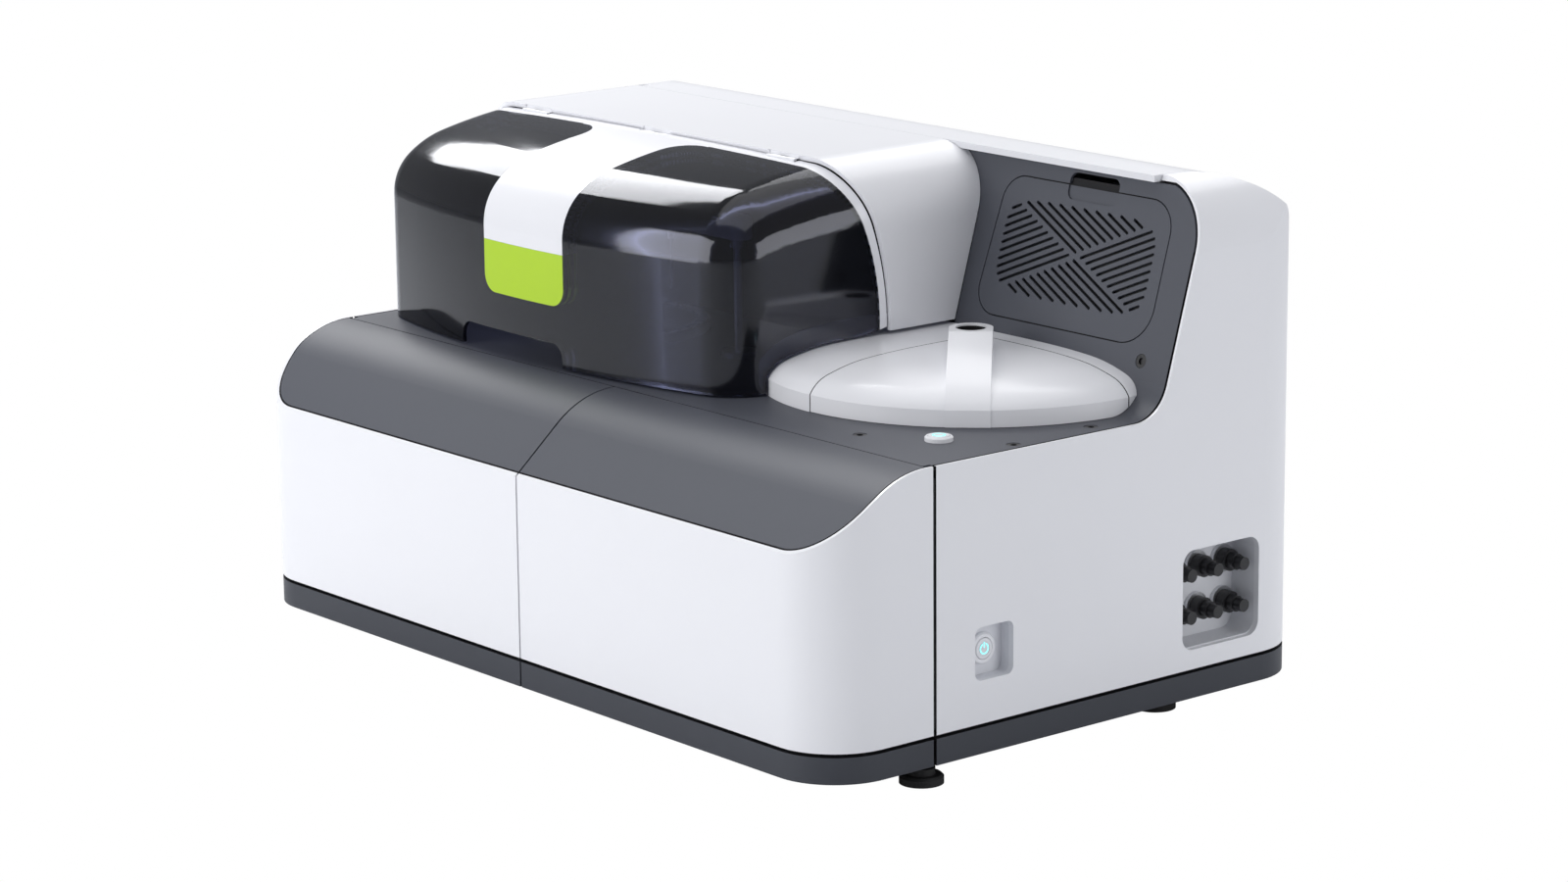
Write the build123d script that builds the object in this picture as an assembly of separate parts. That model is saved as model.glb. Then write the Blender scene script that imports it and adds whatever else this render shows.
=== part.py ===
from build123d import *
from math import atan2, cos, degrees, hypot, pi, radians, sin, sqrt
import os

# Drawn in millimetres: X across the front, Y from the door faces to the back,
# Z up from the underside of the skirt.  SHIFT moves every piece to the shared
# frame, whose origin is the bottom centre of the whole instrument.

# Overall body
WIDTH = 860.0
DEPTH = 580.0
HALF = WIDTH / 2
TOP_Z = 465.0
DECK_Z = 262.4
CORNER_R = 62.0
TOP_SIDE_R = 60.0
TOP_REAR_R = 110.0
PANEL_T = 6.0
COVER_T = 5.0
SKIN_T = 3.0
SEAM = 0.6
LIP_T = 2.5
LIP_DEPTH = 4.0
TOP_GAP = 1.4
FOOT_DROP = 20.0
SHIFT = Pos(0, -DEPTH / 2, FOOT_DROP)

# Base
SKIRT_TOP = 23.7
PANEL_Z = 27.0
TRAY_Z0 = 6.0
TRAY_Z1 = 10.0
FLANGE_TOP = 40.0
FRAME_T = 3.0
FRAME_X = HALF - PANEL_T
DECK_LOW = DECK_Z - SKIN_T
BULKHEAD_Y = 122.0

# Door split
DOOR_BACK = 118.6
PANEL_FRONT = 122.0
MID_GAP = 2.0
DOOR_TOP_BACK = 112.5
SLOPE_FOOT = (6.0, 202.0)
SLOPE_CORNER = (75.5, DECK_Z)
SLOPE_R = 99.0
DOOR_HINGE = (428.7, 120.2)
KNUCKLE_D = 2.4
KNUCKLE_BORE = 1.4
HINGE_PIN_D = 1.24
LEAF_T = 0.5
DOOR_HINGE_Z = (32.0, 252.0)

# Work surface: the deck turns up into a wall that leans back
REVEAL = 5.0
NOSE_INSET = 8.5
WALL_LEAN = 0.296
WALL_FOOT_Y = DEPTH - 193.7
WALL_FOOT_R = 40.0
WALL_TOP_Z = 457.5
SIDE_SPLIT_X = HALF - CORNER_R
TOP_FRONT_Y = DEPTH - 143.5
BACK_WALL_Y = DEPTH - 176.0

# Tower leg and hood parting
BAY_W = 285.0
LEG_X = HALF - BAY_W
LEG_Z = 307.5
SHOULDER_Z = 402.0
WALL_X0 = LEG_X + 0.5
PART_LOW = (DEPTH - 259.0, 307.0)
PART_MID = (DEPTH - 269.8, 390.0)
PART_TOP = (DEPTH - 303.0, 467.0)

# Hood
HOOD_X = (LEG_X - HALF) / 2
HOOD_T = 4.0
HOOD_Z = 264.6
HOOD_FRONT_Y = 115.2
BOW_R = 956.0
HOOD_LEFT = 2.0 - HALF
HOOD_RIGHT = LEG_X - 19.5
HOOD_SIDE_Y = 190.0
HOOD_SIDE_SLOPE = 0.1216
HOOD_EDGE_R = 54.0
BROW_Z = 384.0
BROW_R = (55.0, 100.0, 600.0)
BROW_SLOPE = (38.0, 14.0, 4.2)
HOOD_GAP = 1.6
HOOD_HINGE = (PART_TOP[0] - 0.8, 460.6)
HOOD_HINGE_X = (HOOD_X - 187.5, HOOD_X - 0.5, HOOD_X + 187.5)
HOOD_HINGE_L = 40.0
HINGE_FRONT = 2.2
HINGE_BACK = 4.2
HINGE_T = 0.6
STRAP_W = 122.0
STRAP_X = HOOD_X - 0.5
STRAP_T = 2.0
TIP_Z = (322.0, 371.5)
TIP_R = 17.0
STRAP_R = 30.0
RIM_W = 8.0
RIM_FLARE = 7.0
BAND_Y = PART_TOP[0] - 13.0
NOTCH_X = (HOOD_X - 104.5, HOOD_X + 57.5)
NOTCH_TOP = 287.0

# Sample disc and its lid
LID_C = (HALF - 230.0, DEPTH - 206.0)
LID_R = 197.0
LID_T = 3.0
LIFT_GAP = 0.4
LID_GAP = 1.2
LID_RIM_Z = 278.0
LID_DOME = ((0.0, 304.0), (119.0, 302.4), (148.0, 299.6), (171.0, 294.6), (189.0, 287.0), (197.0, 278.0))
LID_SEAM_X = LID_C[0]
LID_SEAM_Y = LID_C[1] + 5.0
CHIMNEY = (LID_C[0] + 35.0, LID_C[1] - 36.0)
CHIMNEY_OD = 40.0
CHIMNEY_ID = 28.0
CHIMNEY_TOP = 322.0
RIB_W = 39.5
RIB_ANGLE = -43.3
RIB_TOP = ((18.0, 322.0), (70.0, 311.5), (112.0, 300.0), (134.0, 290.0), (145.0, 278.0))

# Grille cover on the leaning wall: x and distance up the wall from deck level
GRILLE_X = (HALF - 264.5, HALF - 36.7)
GRILLE_S = (57.5, 189.0)
GRILLE_TAPER = 9.0
GRILLE_C = (HALF - 149.0, 125.0)
GRILLE_HALF = (98.0, 44.0)
GRILLE_GAP = 1.2
SLOT_ANGLE_UP = 23.4
SLOT_ANGLE_DOWN = -26.4
SLOT_PITCH = 7.0
SLOT_W = 3.0
FINGER_X = (HALF - 175.0, HALF - 111.0)
FINGER_TOP_S = 200.0
SLOT_MARGIN = 2.6
FOAM_TRAY_D = 18.0
FOAM_TRAY_T = 2.0

# Screw plugs in the deck and the wall, and the start button's place
CAP_D = 12.4
CAP_HEAD_D = 18.0
DECK_CAPS = ((HALF - 133.0, 152.0), (HALF - 16.0, 225.0), (HALF - 21.0, WALL_FOOT_Y - 65.3))
WALL_CAP = (HALF - 39.8, 45.9)
START_C = (HALF - 70.0, 187.5)

# Discs: wells let into the deck, tubes and cuvettes on their rings
RUN_FIT = 0.1
SHAFT_D = 10.0
HUB_D = 60.0
MOTOR_SIDE = 60.0
WELL_T = 2.0
WELL_FLOOR_T = 3.0
WELL_R = 172.0
WELL_Z = 168.0
TUBE_D = 16.0
TUBE_WALL = 1.2
TUBE_L = 72.0
TUBE_N = 24
TUBE_RING = 146.0
CUVETTE_WELL_R = 100.0
CUVETTE_WELL_Z = 200.0
CUVETTE_N = 36
CUVETTE_RING = 85.0
CUVETTE_C = (HOOD_X - 72.5, DEPTH - 300.0)

# Arms and the wash cup
ROD_D = 8.0
ARM_Z = (374.0, 396.0)
ARM_W = 21.0
ROD_TOP = 392.0
NEEDLE_TIP = 312.0
PROBE_C = (CUVETTE_C[0] + 185.0, CUVETTE_C[1] + 4.0)
PROBE_REACH = 100.0
PROBE_HOLE = (PROBE_C[0] + 76.6, PROBE_C[1] + 64.3)
PROBE_HOLE_D = 14.0
MIXER_C = (CUVETTE_C[0] - 130.0, CUVETTE_C[1] + 65.0)
MIXER_REACH = 60.0
GUIDE_D = 13.4
WASH_C = (PROBE_C[0] - 42.3, PROBE_C[1] - 90.6)
WASH_D = 21.4
WASH_BORE = 17.0

# Buttons and the recesses in the right side: y0, y1, z0, z1
BUTTON_D = 19.0
BARREL_D = 21.8
POWER_WINDOW = (166.2, 210.5, 65.5, 113.0)
POWER_C = (186.6, 89.2)
POWER_FLOOR = HALF - 16.0
CONNECTOR_WINDOW = (DEPTH - 165.0, DEPTH - 69.0, 45.0, 137.0)
SOCKET_Y = tuple(CONNECTOR_WINDOW[0] + d for d in (15.0, 48.0, 81.0))
SOCKET_Z = (73.0, 112.0)
SOCKET_D = 14.0
SOCKET_FLOOR = HALF - 34.0
PLUG_END = HALF - 3.0

# Rear: split line, exhaust fan and mains inlet (x0, x1, z0, z1)
REAR_SPLIT_Z = TOP_Z - TOP_REAR_R
FAN = (HALF - 250.0, 270.0)
FAN_SIDE = 120.0
FAN_T = 25.0
FAN_HUB_D = 40.0
FAN_HOLE = 116.0
FAN_BLADES = 7
INLET_WINDOW = (100.0 - HALF, 148.0 - HALF, 68.0, 98.0)

# Feet
FEET = ((22.0 - HALF, 124.0), (HALF - 22.0, 124.0), (52.0 - HALF, DEPTH - 148.0), (HALF - 52.0, DEPTH - 148.0))
FOOT_NAMES = ("foot_front_left", "foot_front_right", "foot_rear_left", "foot_rear_right")
FOOT_D = 39.0
FOOT_STEM_D = 10.0
FOOT_BORE = 10.3

# Colours
STEEL = Color(0.62, 0.64, 0.66)
DARK = Color(0.22, 0.23, 0.26)
WHITE = Color(0.93, 0.93, 0.95)
BLACK = Color(0.03, 0.03, 0.035)
LIME = Color(0.60, 0.80, 0.05)
SMOKE = Color(0.04, 0.04, 0.06)
GREY = Color(0.5, 0.5, 0.52)
GLASS = Color(0.8, 0.9, 0.95, 0.5)

# Reach of the cutting blocks, beyond every face
LOW = -10.0
HIGH = 500.0

PARTS = {}


def along_x(sketch, x0, x1):
    """Extrude a (y, z) sketch from x0 to x1."""
    return extrude(Plane.YZ.offset(x0) * sketch, x1 - x0)


def along_y(sketch, y0, y1):
    """Extrude an (x, z) sketch from y0 to y1."""
    return extrude(Plane.XZ.offset(-y1) * sketch, y1 - y0)


def along_z(sketch, z0, z1):
    """Extrude an (x, y) sketch from z0 to z1."""
    return extrude(Pos(0, 0, z0) * sketch, z1 - z0)


def block(x0, x1, y0, y1, z0, z1):
    """A box given by its limits."""
    return Pos((x0 + x1) / 2, (y0 + y1) / 2, (z0 + z1) / 2) * Box(x1 - x0, y1 - y0, z1 - z0)


def rod(x, y, z0, z1, d):
    """An upright cylinder."""
    return Pos(x, y, (z0 + z1) / 2) * Cylinder(d / 2, z1 - z0)


def tube(x, y, z0, z1, outer, bore):
    """An upright tube."""
    return rod(x, y, z0, z1, outer) - rod(x, y, z0 - 1, z1 + 1, bore)


def rod_x(x0, x1, y, z, d):
    """A cylinder lying along X."""
    return Pos((x0 + x1) / 2, y, z) * Rot(0, 90, 0) * Cylinder(d / 2, x1 - x0)


def rod_y(x, y0, y1, z, d):
    """A cylinder lying along Y."""
    return Pos(x, (y0 + y1) / 2, z) * Rot(90, 0, 0) * Cylinder(d / 2, y1 - y0)


def rounded_rect(u0, u1, v0, v1, r):
    """A rounded rectangle given by its limits."""
    return Pos((u0 + u1) / 2, (v0 + v1) / 2) * RectangleRounded(u1 - u0, v1 - v0, r)


def turned(shape, side):
    """The shape itself for the right side, its mirror image for the left."""
    return shape if side > 0 else mirror(shape, Plane.YZ)


def keep(name, shape, colour):
    """Record a finished piece; identical kinds of piece share one node."""
    if name in PARTS:
        shape = PARTS[name][0] + shape
    PARTS[name] = (Part() + shape, colour)


def plan(inset):
    """The rounded plan outline, moved inward."""
    return rounded_rect(-HALF + inset, HALF - inset, inset, DEPTH - inset, CORNER_R - inset)


def body(inset, z0=PANEL_Z):
    """Outer form of the whole body at full height, moved inward."""
    top = TOP_Z - inset
    upright = along_z(plan(inset), z0, top)
    rear_r = TOP_REAR_R - inset
    back = DEPTH - inset
    side_view = Polyline((-10, z0 - 1), (back, z0 - 1), (back, top), (-10, top), (-10, z0 - 1))
    side_view = make_face(side_view)
    side_view = fillet(side_view.vertices().sort_by(Axis.X)[-2:].sort_by(Axis.Y)[-1], rear_r)
    side_r = TOP_SIDE_R - inset
    edge = HALF - inset
    front_view = make_face(
        Polyline((-edge, z0 - 1), (edge, z0 - 1), (edge, top), (-edge, top), (-edge, z0 - 1))
    )
    front_view = fillet(front_view.vertices().sort_by(Axis.Y)[-2:], side_r)
    return upright & along_x(side_view, -HALF - 1, HALF + 1) & along_y(front_view, -1, DEPTH + 1)


def wall_y(z):
    """Y of the leaning wall's face at a height."""
    return WALL_FOOT_Y + WALL_LEAN * (z - DECK_Z)


def work_side(offset, z_low=-5.0):
    """(y, z) region under the deck and behind the leaning wall, lowered by offset."""
    lean = sqrt(1 + WALL_LEAN**2)
    deck = DECK_Z - offset
    foot = wall_y(deck) + offset * lean
    high = 480.0
    corner = (foot, deck)
    face = make_face(
        Polyline(
            (90, z_low), (90, deck), corner, (foot + WALL_LEAN * (high - deck), high),
            (DEPTH + 10, high), (DEPTH + 10, z_low), (90, z_low),
        )
    )
    near = face.vertices().sort_by_distance(Vector(corner[0], corner[1], 0))[0]
    return fillet(near, WALL_FOOT_R + offset)


def part_arc(shift, flare=0.0):
    """(y, z) region behind the hood parting, moved forward by shift, at the top by flare more."""
    low = (PART_LOW[0] - shift, PART_LOW[1])
    mid = (PART_MID[0] - shift, PART_MID[1])
    top = (PART_TOP[0] - shift - flare, PART_TOP[1])
    edges = ThreePointArc(low, mid, top) + Polyline(
        top, (top[0], 480), (DEPTH + 10, 480), (DEPTH + 10, 200), (low[0] + 2, 200), low
    )
    return make_face(edges)


def door_side(offset):
    """(y, z) region below the sloping door top, lowered by offset."""
    rise = (SLOPE_CORNER[1] - SLOPE_FOOT[1]) / (SLOPE_CORNER[0] - SLOPE_FOOT[0])
    drop = offset * sqrt(1 + rise**2)
    deck = DECK_Z - offset
    front = (-5.0, SLOPE_FOOT[1] - rise * (SLOPE_FOOT[0] + 5.0) - drop)
    corner = (SLOPE_CORNER[0] + (drop - offset) / rise, deck)
    face = make_face(
        Polyline(front, corner, (DOOR_BACK, deck), (DOOR_BACK, -5), (-5, -5), front)
    )
    near = face.vertices().sort_by_distance(Vector(corner[0], corner[1], 0))[0]
    return fillet(near, SLOPE_R - offset)


def door_plan(inset, back):
    """(x, y) plan of the right door, moved inward from the outline."""
    middle = MID_GAP / 2
    half = make_face(
        Polyline((middle, -5), (HALF + 5, -5), (HALF + 5, back), (middle, back), (middle, -5))
    )
    return plan(inset) & half


def make_base():
    """Bottom tray with its flange, foot bosses and the fixed skirt."""
    back = plan(PANEL_T) & rounded_rect(-HALF, HALF, PANEL_FRONT, DEPTH, 1)
    tongue = rounded_rect(9 - HALF, HALF - 9, 100, PANEL_FRONT + 1, 1)
    tray = along_z(back + tongue, TRAY_Z0, TRAY_Z1)
    ring = (plan(PANEL_T) - plan(PANEL_T + FRAME_T)) & rounded_rect(-HALF, HALF, PANEL_FRONT, DEPTH, 1)
    flange = along_z(ring, TRAY_Z1, FLANGE_TOP)
    base = tray + flange
    for x, y in FEET:
        base += tube(x, y, 3, 34, 24, FOOT_BORE)
        base -= rod(x, y, 0, 40, FOOT_BORE)
    keep("base_tray", base, STEEL)
    skirt = (plan(0) - plan(PANEL_T)) & rounded_rect(-HALF - 1, HALF + 1, PANEL_FRONT, DEPTH + 1, 1)
    keep("base_skirt", along_z(skirt, 0, SKIRT_TOP), DARK)


def make_feet():
    """Four screw-in levelling feet."""
    for name, (x, y) in zip(FOOT_NAMES, FEET):
        pad = rod(x, y, -FOOT_DROP, -FOOT_DROP + 8, FOOT_D)
        pad = chamfer(pad.edges().group_by(Axis.Z)[-1], 2)
        stem = rod(x, y, -FOOT_DROP + 8, -6, 24) + rod(x, y, -6, 40, FOOT_STEM_D)
        keep(name, pad + stem, BLACK)


def make_doors():
    """Two front doors: white panel, dark top, skirt, liner and hinge leaf."""
    for side, name in ((1, "right"), (-1, "left")):
        below = along_x(door_side(0), 0, HALF + 1)
        wall = door_plan(0, DOOR_BACK) - door_plan(PANEL_T, DOOR_BACK + 1)
        rebate = along_z(door_plan(LIP_T, DOOR_BACK + 1), 100, DECK_Z + 1)
        rebate -= along_x(door_side(LIP_DEPTH), 0, HALF + 1)
        panel = (along_z(wall, PANEL_Z, DECK_Z) & below) - rebate
        keep(f"door_{name}_panel", turned(panel, side), WHITE)
        skin = along_x(door_side(0) - door_side(SKIN_T), 0, HALF + 1)
        top = skin & along_z(door_plan(LIP_T + TOP_GAP, DOOR_TOP_BACK), 100, DECK_Z + 1)
        keep(f"door_{name}_top", turned(top, side), DARK)
        skirt = along_z(wall, 0, SKIRT_TOP)
        keep(f"door_{name}_skirt", turned(skirt, side), DARK)
        outer = door_plan(PANEL_T, DOOR_TOP_BACK)
        inner = door_plan(PANEL_T + FRAME_T, DOOR_TOP_BACK + 1)
        inner &= rounded_rect(MID_GAP / 2 + FRAME_T, HALF, -5, DOOR_TOP_BACK + 2, 1)
        liner = along_z(outer - inner, TRAY_Z1 + 1, DECK_Z) & along_x(door_side(SKIN_T), 0, HALF + 1)
        keep(f"door_{name}_liner", turned(liner, side), DARK)


def make_hinge_leaves(side, name):
    """Continuous door hinge: door leaf, body leaf and pin."""
    hx, hy = DOOR_HINGE
    z0, z1 = DOOR_HINGE_Z
    count = 7
    pitch = (z1 - z0) / count
    edge = hx - KNUCKLE_D / 2 - 0.1
    moving = block(FRAME_X, edge, DOOR_BACK, DOOR_BACK + LEAF_T, z0, z1)
    fixed = block(FRAME_X, edge, PANEL_FRONT - LEAF_T, PANEL_FRONT, z0, z1)
    bore = rod(hx, hy, z0 - 1, z1 + 1, KNUCKLE_BORE)
    for i in range(count):
        a = z0 + i * pitch
        b = a + pitch
        barrel = rod(hx, hy, a + 0.2, b - 0.2, KNUCKLE_D)
        if i % 2:
            moving += barrel + block(edge, hx - 0.7, DOOR_BACK, hy, a + 0.2, b - 0.2)
        else:
            fixed += barrel + block(edge, hx - 0.7, hy, PANEL_FRONT, a + 0.2, b - 0.2)
    keep(f"door_{name}_leaf", turned(moving - bore, side), STEEL)
    keep("fixed_hinges", turned(fixed - bore + rod(hx, hy, z0, z1, HINGE_PIN_D), side), STEEL)


def make_side_panels():
    """Side panels with their top rounding, the recess windows and the rear panel."""
    shell = body(0) - body(PANEL_T, PANEL_Z - 1)
    region = along_x(work_side(0), SIDE_SPLIT_X, HALF + 1)
    region &= block(SIDE_SPLIT_X, HALF + 1, PANEL_FRONT, DEPTH + 1, 0, 480)
    rebate = body(LIP_T) & along_x(work_side(0) - work_side(LIP_DEPTH), SIDE_SPLIT_X - 1, HALF)
    region -= rebate & block(SIDE_SPLIT_X - 1, HALF, 0, DEPTH, 0, WALL_TOP_Z + LIP_T)
    right = shell & region
    y0, y1, z0, z1 = POWER_WINDOW
    right -= along_x(rounded_rect(y0, y1, z0, z1, 7), FRAME_X - 1, HALF + 1)
    y0, y1, z0, z1 = CONNECTOR_WINDOW
    right -= along_x(rounded_rect(y0, y1, z0, z1, 13), FRAME_X - 1, HALF + 1)
    keep("side_panel_right", right, WHITE)
    left = mirror(shell & region, Plane.YZ)
    left -= block(-HALF - 1, -SIDE_SPLIT_X + 1, 0, TOP_FRONT_Y - SEAM, DECK_Z, 480)
    keep("side_panel_left", left, WHITE)
    edge = SIDE_SPLIT_X - SEAM
    back = shell & block(-edge, edge, DEPTH - PANEL_T - 1, DEPTH + 1, PANEL_Z, REAR_SPLIT_Z)
    back -= rod_y(FAN[0], DEPTH - 20, DEPTH + 20, FAN[1], FAN_HOLE)
    x0, x1, z0, z1 = INLET_WINDOW
    back -= block(x0, x1, DEPTH - 20, DEPTH + 5, z0, z1)
    keep("rear_panel", back, WHITE)
    top = shell & block(-edge, edge, TOP_FRONT_Y, DEPTH + 1, REAR_SPLIT_Z + SEAM, 480)
    keep("top_cover", top, WHITE)


def tower_form(inset):
    """Outer form of the tower over the hood side, moved inward."""
    top = TOP_Z - inset
    x0 = -HALF + inset
    x1 = LEG_X - inset
    view = make_face(Polyline((x0, 200), (x1, 200), (x1, top), (x0, top), (x0, 200)))
    view = fillet(view.vertices().sort_by(Axis.Y)[-2:], TOP_SIDE_R - inset)
    return along_y(view, 200, DEPTH - 60)


def make_tower():
    """Fixed tower cover with the leg that stands beside the grille wall."""
    shell = tower_form(0) - tower_form(COVER_T)
    tower = shell & along_x(part_arc(0), -HALF - 1, LEG_X + 1)
    tower &= block(-HALF - 1, LEG_X + 1, 200, DEPTH - 130, DECK_Z + SEAM, 480)
    tower -= block(HOOD_X, LEG_X + 1, 200, DEPTH, 200, LEG_Z)
    tower -= along_x(work_side(-0.5), LEG_X - 85, LEG_X + 2)
    tower -= block(-HALF - 1, LEG_X - 85, TOP_FRONT_Y - SEAM, DEPTH, 200, 480)
    tower -= block(LEG_X - 86, LEG_X + 2, TOP_FRONT_Y - SEAM, DEPTH, TOP_Z - PANEL_T - SEAM, 480)
    for x in HOOD_HINGE_X:
        tower -= hinge_notch(x)
    keep("tower_cover", tower, WHITE)


def hinge_notch(x):
    """Clearance for one hood hinge."""
    y, z = HOOD_HINGE
    half = HOOD_HINGE_L / 2 + 1
    return block(x - half, x + half, y - HINGE_FRONT, y + HINGE_BACK, z - 8, z + 8)


def make_deck():
    """Deck and grille wall in one moulding."""
    band = along_x(work_side(0) - work_side(SKIN_T), -HALF, HALF)
    skin = band & body(REVEAL)
    skin &= block(-HALF, HALF, DOOR_TOP_BACK + 1.2, DEPTH, 0, WALL_TOP_Z)
    shoulder_x = LEG_X - TOP_SIDE_R - 6
    skin -= block(-HALF, WALL_X0, 0, DEPTH, DECK_Z + 0.01, SHOULDER_Z)
    skin -= block(-HALF, shoulder_x, 0, DEPTH, SHOULDER_Z - 1, HIGH)
    skin -= block(-HALF, WALL_X0 - SKIN_T, BACK_WALL_Y + 20, DEPTH, 0, SHOULDER_Z)
    nose = HALF - NOSE_INSET
    skin -= block(-HALF, HALF, 0, PANEL_FRONT, 0, HIGH) - block(-nose, nose, 0, PANEL_FRONT, 0, HIGH)
    flat = along_z(plan(NOSE_INSET), DECK_LOW, DECK_Z)
    skin += flat & block(-HALF, WALL_X0, WALL_FOOT_Y - 86, BACK_WALL_Y + 8, 0, HIGH)
    skin -= rod(*LID_C, 200, 300, 2 * WELL_R - 16) & block(-HALF, HALF, 0, WALL_FOOT_Y - 14, 0, HIGH)
    skin -= rod(*CUVETTE_C, 200, 300, 2 * CUVETTE_WELL_R - 10)
    skin -= rod(*PROBE_C, 200, 300, GUIDE_D + 0.6)
    skin -= rod(*MIXER_C, 200, 300, GUIDE_D + 0.6)
    skin -= rod(*WASH_C, 200, 300, WASH_D + 0.6)
    skin -= rod(*START_C, 200, 300, BARREL_D + 0.6)
    skin -= on_wall(grille_outline(0), -10, 10)
    skin -= on_wall(finger_outline(), -10, 10)
    for x, y in DECK_CAPS:
        skin -= rod(x, y, 200, 300, CAP_D + 0.6)
    skin -= on_wall(Pos(*WALL_CAP) * Circle(CAP_D / 2 + 0.3), -10, 10)
    keep("deck", skin, DARK)


def on_wall(sketch, low, high):
    """Place an (x, s) sketch on the leaning wall and extrude it from low to high outward."""
    up = Vector(0, WALL_LEAN, 1).normalized()
    out = Vector(1, 0, 0).cross(up)
    plane = Plane(origin=(0, WALL_FOOT_Y, DECK_Z), x_dir=(1, 0, 0), z_dir=out)
    return extrude(plane.offset(low) * sketch, high - low)


def grille_outline(inset):
    """Outline of the grille cover in wall coordinates."""
    x0, x1 = GRILLE_X
    s0, s1 = GRILLE_S
    face = make_face(
        Polyline(
            (x0 - 1 + inset, s0 + inset), (x1 - inset, s0 + inset), (x1 - inset, s1 - inset),
            (x0 + GRILLE_TAPER + inset, s1 - inset), (x0 - 1 + inset, s0 + inset),
        )
    )
    radii = {0: 26.0, 1: 36.0, 2: 30.0, 3: 26.0}
    corners = [(x0 - 1, s0), (x1, s0), (x1, s1), (x0 + GRILLE_TAPER, s1)]
    for i, r in radii.items():
        near = face.vertices().sort_by_distance(Vector(corners[i][0], corners[i][1], 0))[0]
        face = fillet(near, r - inset)
    return face


def finger_outline():
    """Finger notch above the grille cover."""
    return rounded_rect(FINGER_X[0], FINGER_X[1], GRILLE_S[1] - 14, FINGER_TOP_S, 8)


def envelope_reach(angle, start):
    """Distance from start along angle to the barrel-shaped edge of the slot field."""
    low, high = 0.0, 200.0
    for _ in range(30):
        mid = (low + high) / 2
        u = (start[0] + mid * cos(angle)) / GRILLE_HALF[0]
        v = (start[1] + mid * sin(angle)) / GRILLE_HALF[1]
        if abs(u) ** 5 + abs(v) ** 5 < 1:
            low = mid
        else:
            high = mid
    return low


def slot_field():
    """Slots parallel to the two diagonals, one family in each of four triangles."""
    up = radians(SLOT_ANGLE_UP)
    down = radians(SLOT_ANGLE_DOWN)
    step = SLOT_PITCH / sin(up - down)
    field = Sketch()
    for border, along, sign in ((down, up, 1), (down, up + pi, -1), (up, down + pi, 1), (up, down, -1)):
        for i in range(14):
            t = sign * (i + 0.5) * step
            start = (t * cos(border), t * sin(border))
            length = envelope_reach(along, start) - SLOT_MARGIN
            if length < 12:
                continue
            mid = SLOT_MARGIN + length / 2
            u = GRILLE_C[0] + start[0] + mid * cos(along)
            v = GRILLE_C[1] + start[1] + mid * sin(along)
            field += Pos(u, v) * Rot(0, 0, degrees(along)) * SlotOverall(length - SLOT_MARGIN / 2, SLOT_W)
    return field


def make_grille():
    """Removable grille cover, filter foam and the foam tray behind the wall."""
    cover = on_wall(grille_outline(GRILLE_GAP), -SKIN_T, 0) - on_wall(finger_outline(), -1.6, 1)
    cover -= on_wall(slot_field(), -SKIN_T - 1, 1)
    keep("grille_cover", cover, DARK)
    outer = on_wall(grille_outline(-6), -FOAM_TRAY_D, -SKIN_T)
    inner = on_wall(grille_outline(2), -FOAM_TRAY_D + FOAM_TRAY_T, 1)
    x, s = GRILLE_C
    opening = on_wall(rounded_rect(x - 80, x + 80, s - 45, s + 41, 8), -FOAM_TRAY_D - 1, 0)
    keep("filter_tray", outer - inner - opening, STEEL)
    foam = on_wall(grille_outline(2), -FOAM_TRAY_D + FOAM_TRAY_T, -SKIN_T - 1.5)
    keep("filter_foam", foam, BLACK)


def lid_form(inset):
    """Solid of revolution of the disc lid, moved inward."""
    top = LID_DOME[0][1]
    points = [(r * (LID_R - inset) / LID_R, z - inset) for r, z in LID_DOME]
    edge = Spline(points, tangents=((1, 0), (0.55, -1)))
    r = LID_R - inset
    wall = Polyline((r, points[-1][1]), (r, DECK_Z - inset), (0, DECK_Z - inset), (0, top - inset))
    face = make_face(edge + wall)
    return Pos(LID_C[0], LID_C[1], 0) * revolve(Plane.XZ * face, Axis.Z)


def quadrant_plan(gap):
    """(x, y) region of the lift-off quarter, shrunk by the seam gap."""
    x0 = LID_SEAM_X + gap
    y1 = LID_SEAM_Y - gap
    return make_face(
        Polyline((x0, 100), (HALF, 100), (HALF, y1), (x0 + 14, y1), (x0, y1 - 14), (x0, 100))
    )


def rib_form(inset):
    """Radial rib and chimney of the lift-off quarter."""
    half = RIB_W / 2 - inset
    reach = LID_R - hypot(CHIMNEY[0] - LID_C[0], CHIMNEY[1] - LID_C[1])
    scale = (reach - inset) / RIB_TOP[-1][0]
    top = [(u * scale, z - inset) for u, z in RIB_TOP]
    rest = Polyline(top[-1], (reach - inset, DECK_Z), (0, DECK_Z), (0, top[0][1]), top[0])
    rib = along_y(make_face(Spline(top) + rest), -half, half)
    rib = Pos(CHIMNEY[0], CHIMNEY[1], 0) * Rot(0, 0, RIB_ANGLE) * rib
    return rib + rod(*CHIMNEY, DECK_Z, CHIMNEY_TOP - inset, CHIMNEY_OD - 2 * inset)


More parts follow.
